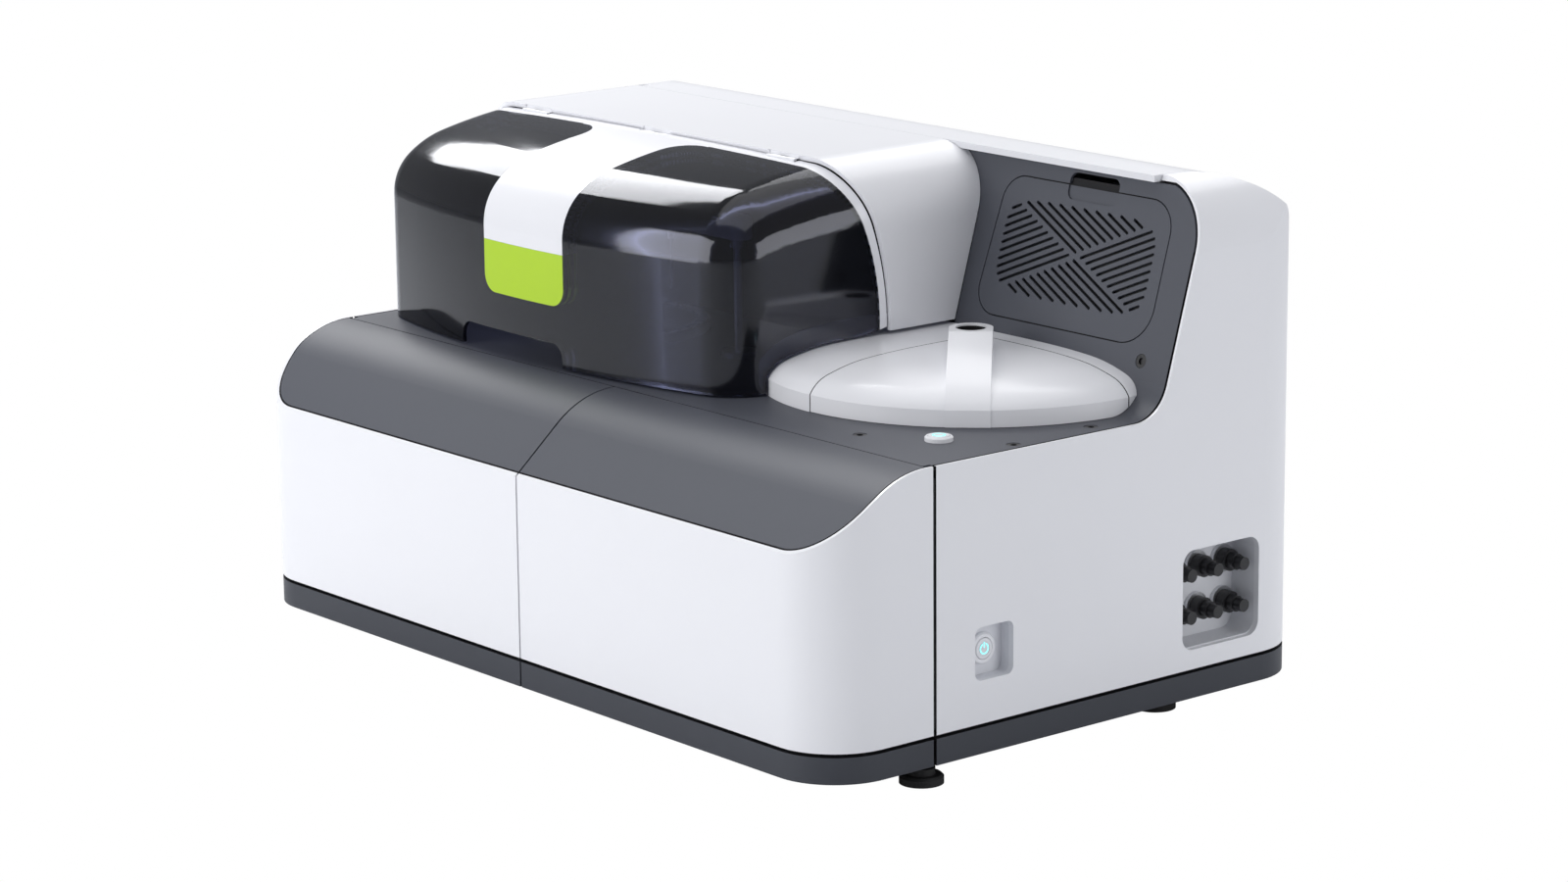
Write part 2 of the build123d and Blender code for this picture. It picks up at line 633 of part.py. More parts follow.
def make_lid():
    """Fixed disc lid and its lift-off quarter."""
    front = block(-HALF, HALF, 100, DEPTH, 200, 400) - along_x(work_side(0), -HALF, HALF)
    shell = (lid_form(0) - lid_form(LID_T)) & front
    quarter = along_z(quadrant_plan(0), 200, 400)
    ledge = (lid_form(LID_T) - lid_form(LID_T + 2)) & front
    ledge &= along_z(quadrant_plan(-10), 200, 400) - along_z(quadrant_plan(8), 200, 400)
    fixed = shell - quarter + ledge
    fixed -= rod(*PROBE_HOLE, 200, 400, PROBE_HOLE_D)
    keep("lid_fixed", fixed, WHITE)
    cut = along_z(quadrant_plan(LID_GAP), 200, 400) - along_x(work_side(-LIFT_GAP), -HALF, HALF)
    rib = (rib_form(0) & cut) - lid_form(LID_T)
    move = (shell & cut) + rib + tube(*CHIMNEY, 290, CHIMNEY_TOP, CHIMNEY_OD, CHIMNEY_ID)
    move -= rod(*CHIMNEY, 200, 400, CHIMNEY_ID)
    hollow = rib_form(LID_T) & along_z(quadrant_plan(4), 200, 400)
    move -= hollow - rod(*CHIMNEY, 200, 400, CHIMNEY_OD)
    move -= block(0, HALF, 0, DEPTH, 200, DECK_Z + LIFT_GAP)
    keep("lid_quarter", move, WHITE)


def hood_right_x(y, inset=0.0):
    """X of the hood's leaning right side at a depth."""
    lean = sqrt(1 + HOOD_SIDE_SLOPE**2)
    return HOOD_RIGHT + HOOD_SIDE_SLOPE * (y - HOOD_SIDE_Y) - inset * lean


def hood_brow(inset):
    """Front and top of the hood as a turned form that follows the bow."""
    axis_y = HOOD_FRONT_Y + BOW_R
    r1, r2, r3 = BROW_R
    a1, a2, a3 = (radians(90 + a) for a in BROW_SLOPE)
    c1 = (HOOD_FRONT_Y + 1.3 + r1, BROW_Z)
    p1 = (c1[0] + r1 * cos(a1), c1[1] + r1 * sin(a1))
    c2 = (p1[0] - r2 * cos(a1), p1[1] - r2 * sin(a1))
    p2 = (c2[0] + r2 * cos(a2), c2[1] + r2 * sin(a2))
    c3 = (p2[0] - r3 * cos(a2), p2[1] - r3 * sin(a2))

    def at(c, r, a):
        return (axis_y - (c[0] + (r - inset) * cos(a)), c[1] + (r - inset) * sin(a))
    start = at(c1, r1, pi)
    q1 = at(c1, r1, a1)
    q2 = at(c2, r2, a2)
    q3 = at(c3, r3, a3)
    edge = ThreePointArc(start, at(c1, r1, (pi + a1) / 2), q1)
    edge += ThreePointArc(q1, at(c2, r2, (a1 + a2) / 2), q2)
    edge += ThreePointArc(q2, at(c3, r3, (a2 + a3) / 2), q3)
    edge += Polyline(q3, (650, q3[1] + 3), (650, 200), (start[0], 200), start)
    return Pos(HOOD_X, axis_y, 0) * revolve(Plane.XZ * make_face(edge), Axis.Z)


def hood_form(inset):
    """Outer form of the hood, moved inward: bowed front, flat sides, and one rounding between."""
    y0 = 60.0
    y1 = PART_LOW[0] + 59.0
    low = 210.0
    x_left = HOOD_LEFT + inset
    plan_face = make_face(
        Polyline(
            (x_left, y0), (hood_right_x(y0, inset), y0), (hood_right_x(y1, inset), y1),
            (x_left, y1), (x_left, y0),
        )
    )
    core = along_z(plan_face, low, HIGH) & hood_brow(inset)

    def on_side(edge):
        if edge.bounding_box().min.Y > y1 - 1 or edge.bounding_box().max.Z < low + 1:
            return False
        points = (edge @ 0, edge @ 0.5, edge @ 1)
        left = all(abs(p.X - x_left) < 0.05 for p in points)
        return left or all(abs(p.X - hood_right_x(p.Y, inset)) < 0.05 for p in points)
    form = fillet([edge for edge in core.edges() if on_side(edge)], HOOD_EDGE_R - inset)
    return form & block(-HALF - 10, HALF, y0, y1 - 35, HOOD_Z, HIGH)


def hood_trim():
    """What the hood must stay clear of: tower, lid and the swing of its own lower edge."""
    keep_out = along_x(part_arc(HOOD_GAP), -HALF - 10, HALF)
    y, z = HOOD_HINGE
    reach = z - DECK_Z - 0.8
    swing = block(-HALF, HALF, y, DEPTH, 200, z) - rod_x(-HALF - 1, HALF + 1, y, z, 2 * reach)
    keep_out += swing
    over = z - LID_DOME[0][1] - 0.8
    lid_x0 = LID_C[0] - LID_R - 3.5
    near = block(lid_x0, HALF, y, DEPTH, 200, z) - rod_x(lid_x0 - 1, HALF + 1, y, z, 2 * over)
    keep_out += near
    keep_out += lid_form(-2.0) - block(-HALF, HALF, LOW, DEPTH, LOW, DECK_Z)
    return keep_out


def strap_region():
    """Where the white frame lies in the hood's outer layer: a strap that joins the rear rim."""
    x0 = STRAP_X - STRAP_W / 2
    x1 = STRAP_X + STRAP_W / 2
    strap = along_y(rounded_rect(x0, x1, TIP_Z[0], 600, TIP_R), 60, BAND_Y + 30)
    reach = STRAP_R + 5
    tee = make_face(
        Polyline(
            (x0, 90), (x1, 90), (x1, BAND_Y), (x1 + reach, BAND_Y), (x1 + reach, BAND_Y + 30),
            (x0 - reach, BAND_Y + 30), (x0 - reach, BAND_Y), (x0, BAND_Y), (x0, 90),
        )
    )
    corners = [v for v in tee.vertices() if abs(v.Y - BAND_Y) < 0.1 and x0 - 1 < v.X < x1 + 1]
    rim = along_x(part_arc(RIM_W + HOOD_GAP, RIM_FLARE), -HALF - 5, HALF)
    return strap + along_z(fillet(corners, STRAP_R), BROW_Z + 20, HIGH) + rim


def make_hood():
    """Smoked hood shell with its inlaid white frame and lime tip."""
    outer = hood_form(0)
    trim = hood_trim()
    skin = outer - hood_form(HOOD_T) - trim
    layer = skin - hood_form(STRAP_T)
    region = strap_region()
    frame = layer & region
    shell = skin - frame
    x0, x1 = NOTCH_X
    shell -= along_y(rounded_rect(x0, x1, 230, NOTCH_TOP, 15), 60, 170)
    for x in HOOD_HINGE_X:
        frame -= hinge_notch(x)
        shell -= hinge_notch(x)
    tip = frame & block(HOOD_X - 90, HOOD_X + 90, 60, 200, TIP_Z[0] - 1, TIP_Z[1] - 0.2)
    frame -= block(HOOD_X - 90, HOOD_X + 90, 60, 200, TIP_Z[0] - 1, TIP_Z[1])
    keep("hood_shell", shell, SMOKE)
    keep("hood_frame", frame, WHITE)
    keep("hood_tip", tip, LIME)


def make_frames():
    """Sheet-metal frame that carries the panels: side sheets, bulkhead, hoops, inner back wall."""
    for side in (1, -1):
        sheet = block(FRAME_X - FRAME_T, FRAME_X, BULKHEAD_Y, DEPTH - 65, FLANGE_TOP, DECK_LOW)
        y0 = BULKHEAD_Y + FRAME_T
        sheet += block(FRAME_X - 23, FRAME_X, y0, WALL_FOOT_Y - 34, DECK_LOW - FRAME_T, DECK_LOW)
        if side > 0:
            y0, y1, z0, z1 = POWER_WINDOW
            sheet -= block(HALF - 30, HALF, y0 - 3, y1 + 3, z0 - 6, z1 + 3)
            y0, y1, z0, z1 = CONNECTOR_WINDOW
            sheet -= block(HALF - 30, HALF, y0 - 3, y1 + 5, z0 - 6, z1 + 3)
            for x, y in DECK_CAPS:
                sheet -= rod(x, y, 200, 300, CAP_D + 7)
        keep("side_frames", turned(sheet, side), STEEL)
    inner = FRAME_X - FRAME_T
    bulkhead = block(-inner, inner, BULKHEAD_Y, BULKHEAD_Y + FRAME_T, TRAY_Z1, DECK_LOW)
    for x, y in FEET[:2]:
        bulkhead -= block(x - 14, x + 14, y - 14, y + 14, 0, 44)
    keep("bulkhead", bulkhead, DARK)
    rear = body(PANEL_T, DECK_LOW) - body(PANEL_T + FRAME_T, DECK_LOW - 1)
    rear &= block(-HALF, HALF, DEPTH - 110, DEPTH - 90, DECK_LOW, HIGH)
    keep("hoops", rear, STEEL)
    face = BACK_WALL_Y + FRAME_T
    front = tower_form(COVER_T) - tower_form(COVER_T + 9)
    front &= block(-HALF, LEG_X, face, face + 18, DECK_Z, HIGH)
    keep("hoops", front, STEEL)
    back = tower_form(COVER_T) & block(-HALF, LEG_X, BACK_WALL_Y, face, DECK_Z, HIGH)
    keep("back_wall", back, DARK)


def disc_well(x, y, r, z):
    """A round well hung under the deck, with the drive below its floor."""
    outer = 2 * (r + WELL_T)
    well = tube(x, y, z, DECK_LOW, outer, 2 * r) + rod(x, y, z, z + WELL_FLOOR_T, outer)
    keep("disc_wells", well - rod(x, y, z - 1, z + WELL_FLOOR_T + 1, SHAFT_D + 4), GREY)
    half = MOTOR_SIDE / 2
    motor = block(x - half, x + half, y - half, y + half, z - MOTOR_SIDE, z)
    motor -= rod(x, y, z - 38, z + 1, SHAFT_D + 2 * RUN_FIT)
    keep("disc_motors", motor, BLACK)


def make_sample_disc():
    """Sample well, disc with tubes and the drive underneath."""
    x, y = LID_C
    disc_well(x, y, WELL_R, WELL_Z)
    low = WELL_Z + 10
    disc_d = 2 * (WELL_R - 8)
    disc = rod(x, y, low, low + 3, disc_d) + rod(x, y, low + 44, low + 47, disc_d)
    disc += rod(x, y, low, low + 66, HUB_D) + rod(x, y, WELL_Z - 35, low + 4, SHAFT_D)
    places = [Pos(x, y, low) * loc for loc in PolarLocations(TUBE_RING, TUBE_N)]
    disc -= [loc * Pos(0, 0, 46) * Cylinder(TUBE_D / 2 + 0.3, 10) for loc in places]
    keep("sample_disc", disc, GREY)
    foot = 3
    tubes = Part() + [loc * Pos(0, 0, foot + TUBE_L / 2) * Cylinder(TUBE_D / 2, TUBE_L) for loc in places]
    bore = Cylinder(TUBE_D / 2 - TUBE_WALL, TUBE_L - 8)
    tubes -= [loc * Pos(0, 0, foot + TUBE_L / 2 + 6) * bore for loc in places]
    keep("sample_tubes", tubes, WHITE)


def make_reaction_disc():
    """Reaction well, disc, cuvettes, knob and drive."""
    x, y = CUVETTE_C
    z = CUVETTE_WELL_Z
    disc_well(x, y, CUVETTE_WELL_R, z)
    disc = rod(x, y, z + 62, z + 70, 2 * (CUVETTE_WELL_R - 7))
    disc += rod(x, y, z + 6, z + 65, HUB_D) + rod(x, y, z - 37, z + 7, SHAFT_D)
    places = [Pos(x, y, z) * loc for loc in PolarLocations(CUVETTE_RING, CUVETTE_N)]
    disc -= [loc * Pos(0, 0, 66) * Box(8, 7, 20) for loc in places]
    keep("reaction_disc", disc, GREY)
    cups = Part() + [loc * Pos(0, 0, 50) * Box(7.4, 6.4, 40) for loc in places]
    cups += [loc * Pos(0, 0, 71) * Box(9.6, 9.0, 2) for loc in places]
    cups -= [loc * Pos(0, 0, 55) * Box(5.4, 4.4, 40) for loc in places]
    keep("cuvettes", cups, GLASS)
    knob = rod(x, y, z + 70, z + 80, 43) + rod(x, y, z + 80, z + 98, 32)
    keep("reaction_knob", chamfer(knob.edges().group_by(Axis.Z)[-1], 2), DARK)


def make_arm(name, centre, angle, reach):
    """A lift rod in its guide, with a swinging arm and its tool."""
    x, y = centre
    low, top = ARM_Z
    bore = ROD_D + 2 * RUN_FIT
    guide = tube(x, y, DECK_Z - 40.4, DECK_Z, GUIDE_D, bore) + tube(x, y, DECK_Z, DECK_Z + 5, 34, bore)
    keep("arm_guides", guide, STEEL)
    shaft = rod(x, y, 150, ROD_TOP, ROD_D) + rod(x, y, low - 8, low - 0.4, 14)
    keep(f"{name}_rod", shaft, STEEL)
    arm = block(-14, reach + 10, -ARM_W / 2, ARM_W / 2, low, top)
    arm = fillet(arm.edges().filter_by(Axis.Z), 8)
    arm = chamfer(arm.edges().group_by(Axis.Z)[-1], 2)
    arm -= rod(0, 0, low - 1, ROD_TOP + 0.4, bore)
    arm = Pos(x, y, 0) * Rot(0, 0, angle) * arm
    tx = x + reach * cos(radians(angle))
    ty = y + reach * sin(radians(angle))
    if name == "probe":
        tool = rod(tx, ty, NEEDLE_TIP, low, 2) + rod(tx, ty, low - 14, low, 7)
    else:
        tool = rod(tx, ty, NEEDLE_TIP, low, 2.4) + rod(tx, ty, low - 18, low, 12)
        tool += Pos(tx, ty, NEEDLE_TIP + 6) * Box(4, 1, 12)
    keep(f"{name}_arm", arm + tool, WHITE)


def make_button(name, place, bezel_d):
    """A ring-lit push-button: bezel with its barrel, cap and light ring."""
    bore = BUTTON_D + 0.8
    bezel = tube(0, 0, 0, 4.4, bezel_d, bore)
    bezel = chamfer(bezel.edges().group_by(Axis.Z)[-1].sort_by(SortBy.LENGTH)[-1], 1.2)
    barrel = tube(0, 0, -34, 0, BARREL_D, bore) + rod(0, 0, -34, -31, BARREL_D)
    nut = tube(0, 0, -9, -SKIN_T, 27, BARREL_D)
    keep("button_bezels", place * (bezel + barrel + nut), STEEL)
    cap = rod(0, 0, -27, 5.0, BUTTON_D)
    cap = chamfer(cap.edges().group_by(Axis.Z)[-1], 0.6)
    keep(f"{name}_cap", place * (cap - tube(0, 0, 4.6, 6, 13, 10.4)), WHITE)


def make_buttons():
    """Start button in the deck, power button in its pocket on the right side."""
    make_button("start", Pos(START_C[0], START_C[1], DECK_Z), 25)
    y, z = POWER_C
    make_button("power", Pos(POWER_FLOOR, y, z) * Rot(0, 90, 0), 28)
    y0, y1, z0, z1 = POWER_WINDOW
    outer = block(POWER_FLOOR - SKIN_T, FRAME_X, y0 - 2, y1 + 2, z0 - 2, z1 + 2)
    pocket = outer - along_x(rounded_rect(y0, y1, z0, z1, 7), POWER_FLOOR, FRAME_X + 1)
    pocket -= rod_x(POWER_FLOOR - 10, POWER_FLOOR + 1, y, z, BARREL_D + 0.6)
    keep("side_pockets", pocket, WHITE)


def make_connectors():
    """Pocket with six fluid sockets and their plugs."""
    y0, y1, z0, z1 = CONNECTOR_WINDOW
    x = SOCKET_FLOOR
    outer = block(x - SKIN_T, FRAME_X, y0 - 2, y1 + 2, z0 - 0.5, z1 + 2)
    pocket = outer - along_x(rounded_rect(y0, y1, z0 + 1, z1, 12), x, FRAME_X + 1)
    sockets = Part()
    plugs = Part()
    for y in SOCKET_Y:
        for z in SOCKET_Z:
            pocket -= rod_x(x - 10, x + 1, y, z, SOCKET_D + 0.4)
            sockets += rod_x(x - 16, x, y, z, SOCKET_D) + rod_x(x, x + 4, y, z, 26)
            plugs += rod_x(x + 4, x + 14, y, z, 20) + rod_x(x + 14, x + 22, y, z, 15)
            plugs += rod_x(x + 22, PLUG_END, y, z, 12)
    keep("side_pockets", pocket, WHITE)
    keep("fluid_sockets", sockets, STEEL)
    keep("fluid_plugs", plugs, BLACK)


def make_rear():
    """Exhaust fan and the power inlet."""
    make_fan()
    inner = DEPTH - PANEL_T
    x0, x1, z0, z1 = INLET_WINDOW
    inlet = block(x0 + 0.3, x1 - 0.3, inner - 30, DEPTH - 1, z0 + 0.3, z1 - 0.3)
    inlet += block(x0 - 5, x1 + 5, inner - 3, inner, z0 - 4, z1 + 4)
    inlet -= block(x0 + 10, x1 - 10, inner - 14, DEPTH + 1, z0 + 7, z1 - 7)
    z = (z0 + z1) / 2
    for dx in (-8, 0, 8):
        x = (x0 + x1) / 2 + dx
        inlet += block(x - 1, x + 1, inner - 14, inner - 2, z - 2, z + 2)
    keep("power_inlet", inlet, BLACK)


def make_fan():
    """Exhaust fan: frame with four struts, rotor, and the ring guard in the panel."""
    x, z = FAN
    inner = DEPTH - PANEL_T
    half = FAN_SIDE / 2
    back = inner - FAN_T
    frame = block(x - half, x + half, back, inner, z - half, z + half)
    frame -= rod_y(x, back - 1, inner + 1, z, FAN_SIDE - 6)
    hub = rod_y(x, back, back + 5, z, FAN_HUB_D) - rod_y(x, back - 1, back + 6, z, 6 + 2 * RUN_FIT)
    struts = Part()
    for i in range(4):
        struts += Pos(x, back + 2, z) * Rot(0, 45 + 90 * i, 0) * Pos(38, 0, 0) * Box(44, 4, 5)
    keep("fan_frame", frame + hub + struts, BLACK)
    rotor = rod_y(x, back + 5.6, inner - 4, z, FAN_HUB_D) + rod_y(x, back + 0.4, inner - 10, z, 6)
    for i in range(FAN_BLADES):
        spoke = Pos(x, inner - 11, z) * Rot(0, 360 / FAN_BLADES * i, 0)
        rotor += spoke * Pos(36, 0, 0) * Rot(38, 0, 0) * Box(34, 2, 17)
    keep("fan_rotor", rotor, BLACK)
    guard = Part()
    for d in (40, 64, 88, 112):
        guard += rod_y(x, inner, inner + 2.4, z, d) - rod_y(x, inner - 1, inner + 4, z, d - 4)
    for angle in (45, 135):
        guard += Pos(x, inner + 1.2, z) * Rot(0, angle, 0) * Box(FAN_HOLE + 6, 2.4, 4)
    rim = FAN_HOLE - 0.6
    guard = guard & rod_y(x, inner - 1, DEPTH, z, rim)
    guard += rod_y(x, inner, inner + 2.4, z, rim) - rod_y(x, inner - 1, inner + 4, z, rim - 4.4)
    keep("fan_frame", guard, BLACK)


def make_wash_cup():
    """Wash cup let into the deck, and the plugs over the deck and wall screws."""
    x, y = WASH_C
    cup = tube(x, y, 225, DECK_Z, WASH_D, WASH_BORE) + rod(x, y, 225, 228, WASH_D)
    cup += tube(x, y, DECK_Z, DECK_Z + 3, 30, WASH_BORE)
    keep("wash_cup", cup, WHITE)
    caps = Part()
    for cx, cy in DECK_CAPS:
        caps += rod(cx, cy, DECK_LOW - 2, DECK_LOW, CAP_HEAD_D)
        caps += rod(cx, cy, DECK_LOW - 1, DECK_Z - 0.4, CAP_D)
        caps -= rod(cx, cy, DECK_Z - 2.4, DECK_Z, 6)
    keep("screw_plugs", caps, BLACK)
    spot = Pos(*WALL_CAP)
    cap = on_wall(spot * Circle(CAP_HEAD_D / 2), -SKIN_T - 2, -SKIN_T)
    cap += on_wall(spot * Circle(CAP_D / 2), -SKIN_T - 1, -0.4)
    keep("screw_plugs", cap - on_wall(spot * Circle(3), -2.4, 0), BLACK)


def make_hood_hinges():
    """Three small hinges let into the seam between hood and tower."""
    y, z = HOOD_HINGE
    moving = Part()
    fixed = Part()
    for cx in HOOD_HINGE_X:
        x0 = cx - HOOD_HINGE_L / 2
        x1 = cx + HOOD_HINGE_L / 2
        third = HOOD_HINGE_L / 3
        moving += block(x0, x1, y - HINGE_FRONT, y - HINGE_FRONT + HINGE_T, z - 6, z + 0.8)
        fixed += block(x0, x1, y + HINGE_BACK - HINGE_T, y + HINGE_BACK, z + 0.2, z + 3.8)
        moving += rod_x(x0 + third + 0.2, x1 - third - 0.2, y, z, KNUCKLE_D)
        moving += block(x0 + third + 0.2, x1 - third - 0.2, y - 2.0, y, z + 0.2, z + 0.8)
        for a, b in ((x0, x0 + third - 0.2), (x1 - third + 0.2, x1)):
            fixed += rod_x(a, b, y, z, KNUCKLE_D)
            fixed += block(a, b, y, y + HINGE_BACK - 0.2, z + 0.2, z + 0.8)
        moving -= rod_x(x0 - 1, x1 + 1, y, z, KNUCKLE_BORE)
        fixed -= rod_x(x0 - 1, x1 + 1, y, z, KNUCKLE_BORE)
        fixed += rod_x(x0, x1, y, z, HINGE_PIN_D)
    keep("hood_leaves", moving, STEEL)
    keep("fixed_hinges", fixed, STEEL)


def export_all():
    """Write one STEP file for every piece."""
    os.makedirs("parts", exist_ok=True)
    for name, (shape, colour) in PARTS.items():
        placed = SHIFT * shape
        placed.label = name
        placed.color = colour
        export_step(placed, f"parts/{name}.step")
        print(name, round(shape.volume / 1000, 1), len(shape.solids()))


def main():
    """Build every piece and export it."""
    make_base()
    make_feet()
    make_doors()
    make_hinge_leaves(1, "right")
    make_hinge_leaves(-1, "left")
    make_side_panels()
    make_tower()
    make_deck()
    make_grille()
    make_lid()
    make_hood()
    make_hood_hinges()
    make_frames()
    make_sample_disc()
    make_reaction_disc()
    make_arm("probe", PROBE_C, 180, PROBE_REACH)
    to_disc = degrees(atan2(CUVETTE_C[1] - MIXER_C[1], CUVETTE_C[0] - MIXER_C[0]))
    make_arm("mixer", MIXER_C, to_disc, MIXER_REACH)
    make_buttons()
    make_connectors()
    make_rear()
    make_wash_cup()
    export_all()


main()
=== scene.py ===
import bmesh
import bpy
import math
from mathutils import Matrix, Vector


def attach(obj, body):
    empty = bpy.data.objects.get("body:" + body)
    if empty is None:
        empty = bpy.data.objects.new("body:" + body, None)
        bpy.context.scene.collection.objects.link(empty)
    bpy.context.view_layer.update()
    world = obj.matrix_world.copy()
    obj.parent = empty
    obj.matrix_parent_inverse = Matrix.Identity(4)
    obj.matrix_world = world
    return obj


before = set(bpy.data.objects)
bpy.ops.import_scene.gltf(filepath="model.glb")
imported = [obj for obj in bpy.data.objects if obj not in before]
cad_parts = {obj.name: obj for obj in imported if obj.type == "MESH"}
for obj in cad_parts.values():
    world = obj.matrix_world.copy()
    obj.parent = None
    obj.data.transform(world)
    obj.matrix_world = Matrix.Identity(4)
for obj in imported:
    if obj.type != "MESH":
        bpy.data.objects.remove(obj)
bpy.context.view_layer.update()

# Camera recovered from the photograph's straight edges
CAM_AT = (3.13822, -2.58065, 1.14737)
YAW = math.radians(50.3176)
PITCH = math.radians(13.0759)
ROLL = math.radians(-0.5619)
LENS = 101.98
SENSOR = 36.0

# The body is measured from its own front and skirt; this moves it to the frame
FRONT_Y = -0.290
SKIRT_Z = 0.020

# Sizes of the body in millimetres, where its pieces meet
HALF = 430.0
CORNER_R = 62.0
SHOULDER_R = 60.0
SHOULDER_Z = 405.0
DECK_Z = 262.4
WALL_FOOT_Y = 386.3
WALL_LEAN = 0.296
WALL_TOP_Z = 461.0
PANEL_T = 6.0
PANEL_FRONT = 122.0
DOOR_BACK = 118.6
SKIRT_TOP = 23.7
REVEAL = 5.0
DECK_FRONT = 113.75
TOP_INSET = 3.97
TOP_BACK = 112.45
LIP_T = 2.5
LIP_DEPTH = 4.0
DECK_GAP_DEPTH = LIP_DEPTH + 1.5
DOOR_GAP_DEPTH = 14.0
SLOPE_LOW = (6.0, 202.0)
SLOPE_HIGH_Y = 75.5
LID_SEAM = (200.0, 379.0)
LID_SEAM_CORNER = 13.9
CHIMNEY = (235.0, 338.0)
# Black sleeve in the chimney's bore, painted shade for its dark inside
SHADE_SLEEVE_R = 13.9
SHADE_SLEEVE_T = 0.5
SHADE_SLEEVE_Z = (291.0, 320.5)

# How far the middle of a face may stand off the surface it is compared with
FACE_SLACK = 0.05
SEAM_SLACK = 0.1
LIP_SLACK = 0.2

# Grain and colour drift shared by the plastics
ROUGH_SPREAD = 0.07
GRAIN_HEIGHT = 0.0004
DRIFT_SCALE = 5
DRIFT_RANGE = (0.3, 0.7)

# Lit marks on the two buttons, arcs in degrees
POWER_FACE = (419.0, 186.6, 89.2)
START_FACE = (360.0, 187.5, 267.4)
SIGN_R = 4.5
SIGN_W = 1.0
SIGN_ARC = (122, 418)
SIGN_BAR_Y = (1.2, SIGN_R + 0.9)
RING_R = 5.2
RING_ARCS = ((2, 178), (182, 358))
MARK_H = 0.15


def at(x, y, z):
    """A point given in millimetres from the body's front and skirt, in the frame."""
    return Vector((x / 1000, y / 1000 + FRONT_Y, z / 1000 + SKIRT_Z))


def make_camera():
    """Camera at the photograph's place."""
    right = Vector((math.cos(YAW), math.sin(YAW), 0))
    forward = Vector((-math.sin(YAW) * math.cos(PITCH), math.cos(YAW) * math.cos(PITCH), -math.sin(PITCH)))
    up = right.cross(forward)
    side = math.cos(ROLL) * right + math.sin(ROLL) * up
    head = -math.sin(ROLL) * right + math.cos(ROLL) * up
    data = bpy.data.cameras.new("camera")
    data.lens = LENS
    data.sensor_width = SENSOR
    data.clip_end = 50
    cam = bpy.data.objects.new("camera", data)
    rot = Matrix((side, head, -forward)).transposed().to_4x4()
    cam.matrix_world = Matrix.Translation(Vector(CAM_AT)) @ rot
    bpy.context.collection.objects.link(cam)
    bpy.context.scene.camera = cam


def area_light(name, place, target, size, power, size_y=None):
    """A soft rectangular light aimed at a point."""
    data = bpy.data.lights.new(name, "AREA")
    data.shape = "RECTANGLE"
    data.size = size
    data.size_y = size_y or size
    data.energy = power
    lamp = bpy.data.objects.new(name, data)
    aim = (Vector(target) - Vector(place)).to_track_quat("-Z", "Y").to_matrix().to_4x4()
    lamp.matrix_world = Matrix.Translation(Vector(place)) @ aim
    bpy.context.collection.objects.link(lamp)


def make_lights():
    """Broad key on the front, boxes overhead and behind, fill on the right, strip for the hood's brow."""
    area_light("key_front", (-0.9, -3.4, 1.1), (0, 0, 0.2), size=2.6, power=79)
    area_light("top_box", (0.2, 0.1, 2.6), (0, 0, 0.2), size=2.4, power=18)
    area_light("rear_box", (-0.6, 1.7, 2.0), (-0.1, 0.2, 0.45), size=1.8, power=22)
    area_light("side_fill", (3.2, 0.9, 0.9), (0, 0.1, 0.2), size=1.6, power=25)
    area_light("brow_box", (-2.05, 0.42, 2.0), (-0.1, -0.1, 0.45), size=1.2, power=42, size_y=1.4)
    world = bpy.data.worlds.new("studio")
    bpy.context.scene.world = world
    world.use_nodes = True
    tree = world.node_tree
    tree.nodes.clear()
    out = tree.nodes.new("ShaderNodeOutputWorld")
    mix = tree.nodes.new("ShaderNodeMixShader")
    seen = tree.nodes.new("ShaderNodeBackground")
    fill = tree.nodes.new("ShaderNodeBackground")
    path = tree.nodes.new("ShaderNodeLightPath")
    seen.inputs["Color"].default_value = (1, 1, 1, 1)
    seen.inputs["Strength"].default_value = 1.0
    fill.inputs["Color"].default_value = (0.93, 0.95, 1, 1)
    fill.inputs["Strength"].default_value = 0.32
    tree.links.new(path.outputs["Is Camera Ray"], mix.inputs[0])
    tree.links.new(fill.outputs[0], mix.inputs[1])
    tree.links.new(seen.outputs[0], mix.inputs[2])
    tree.links.new(mix.outputs[0], out.inputs[0])


def make_floor():
    """Plain pale floor that the camera sees as white."""
    bpy.ops.mesh.primitive_plane_add(size=14, location=(0, 0, 0))
    floor = bpy.context.object
    floor.name = "floor"
    mat = bpy.data.materials.new("floor")
    mat.use_nodes = True
    tree = mat.node_tree
    tree.nodes.clear()
    out = tree.nodes.new("ShaderNodeOutputMaterial")
    mix = tree.nodes.new("ShaderNodeMixShader")
    pale = tree.nodes.new("ShaderNodeBsdfDiffuse")
    white = tree.nodes.new("ShaderNodeEmission")
    path = tree.nodes.new("ShaderNodeLightPath")
    pale.inputs["Color"].default_value = (0.75, 0.76, 0.78, 1)
    white.inputs["Color"].default_value = (1, 1, 1, 1)
    white.inputs["Strength"].default_value = 1.0
    tree.links.new(path.outputs["Is Camera Ray"], mix.inputs[0])
    tree.links.new(pale.outputs[0], mix.inputs[1])
    tree.links.new(white.outputs[0], mix.inputs[2])
    tree.links.new(mix.outputs[0], out.inputs[0])
    floor.data.materials.append(mat)


